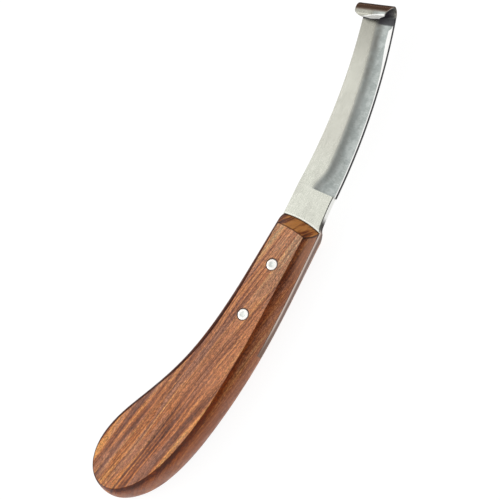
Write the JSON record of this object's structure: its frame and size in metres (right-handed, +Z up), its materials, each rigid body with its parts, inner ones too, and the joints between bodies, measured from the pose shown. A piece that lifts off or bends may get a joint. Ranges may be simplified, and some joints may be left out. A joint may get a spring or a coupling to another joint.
{
  "type": "hoof knife",
  "caption": "Hook knife for trimming hooves: a curved hollow-ground steel blade rolled into a hook at the tip, pinned by its tang in a swept one-piece wooden handle.",
  "frame": {"origin": "midway between the two handle pins, on the flat far face of the handle that the knife rests on", "axes": "+X along the line of the pins towards the hooked tip, +Z up through the handle's thickness, -Y towards the cutting edge"},
  "size_m": [0.2174, 0.0401, 0.0195],
  "materials": {
    "wood": "satin varnish over rosewood-like grain",
    "blade_steel": "polished flats, brushed hollow grind",
    "pin_metal": "ground flush, satin"
  },
  "bodies": {
    "root": {"handle": "wood", "blade": "blade_steel", "front_rivet": "pin_metal", "rear_rivet": "pin_metal"}
  },
  "joints": []
}
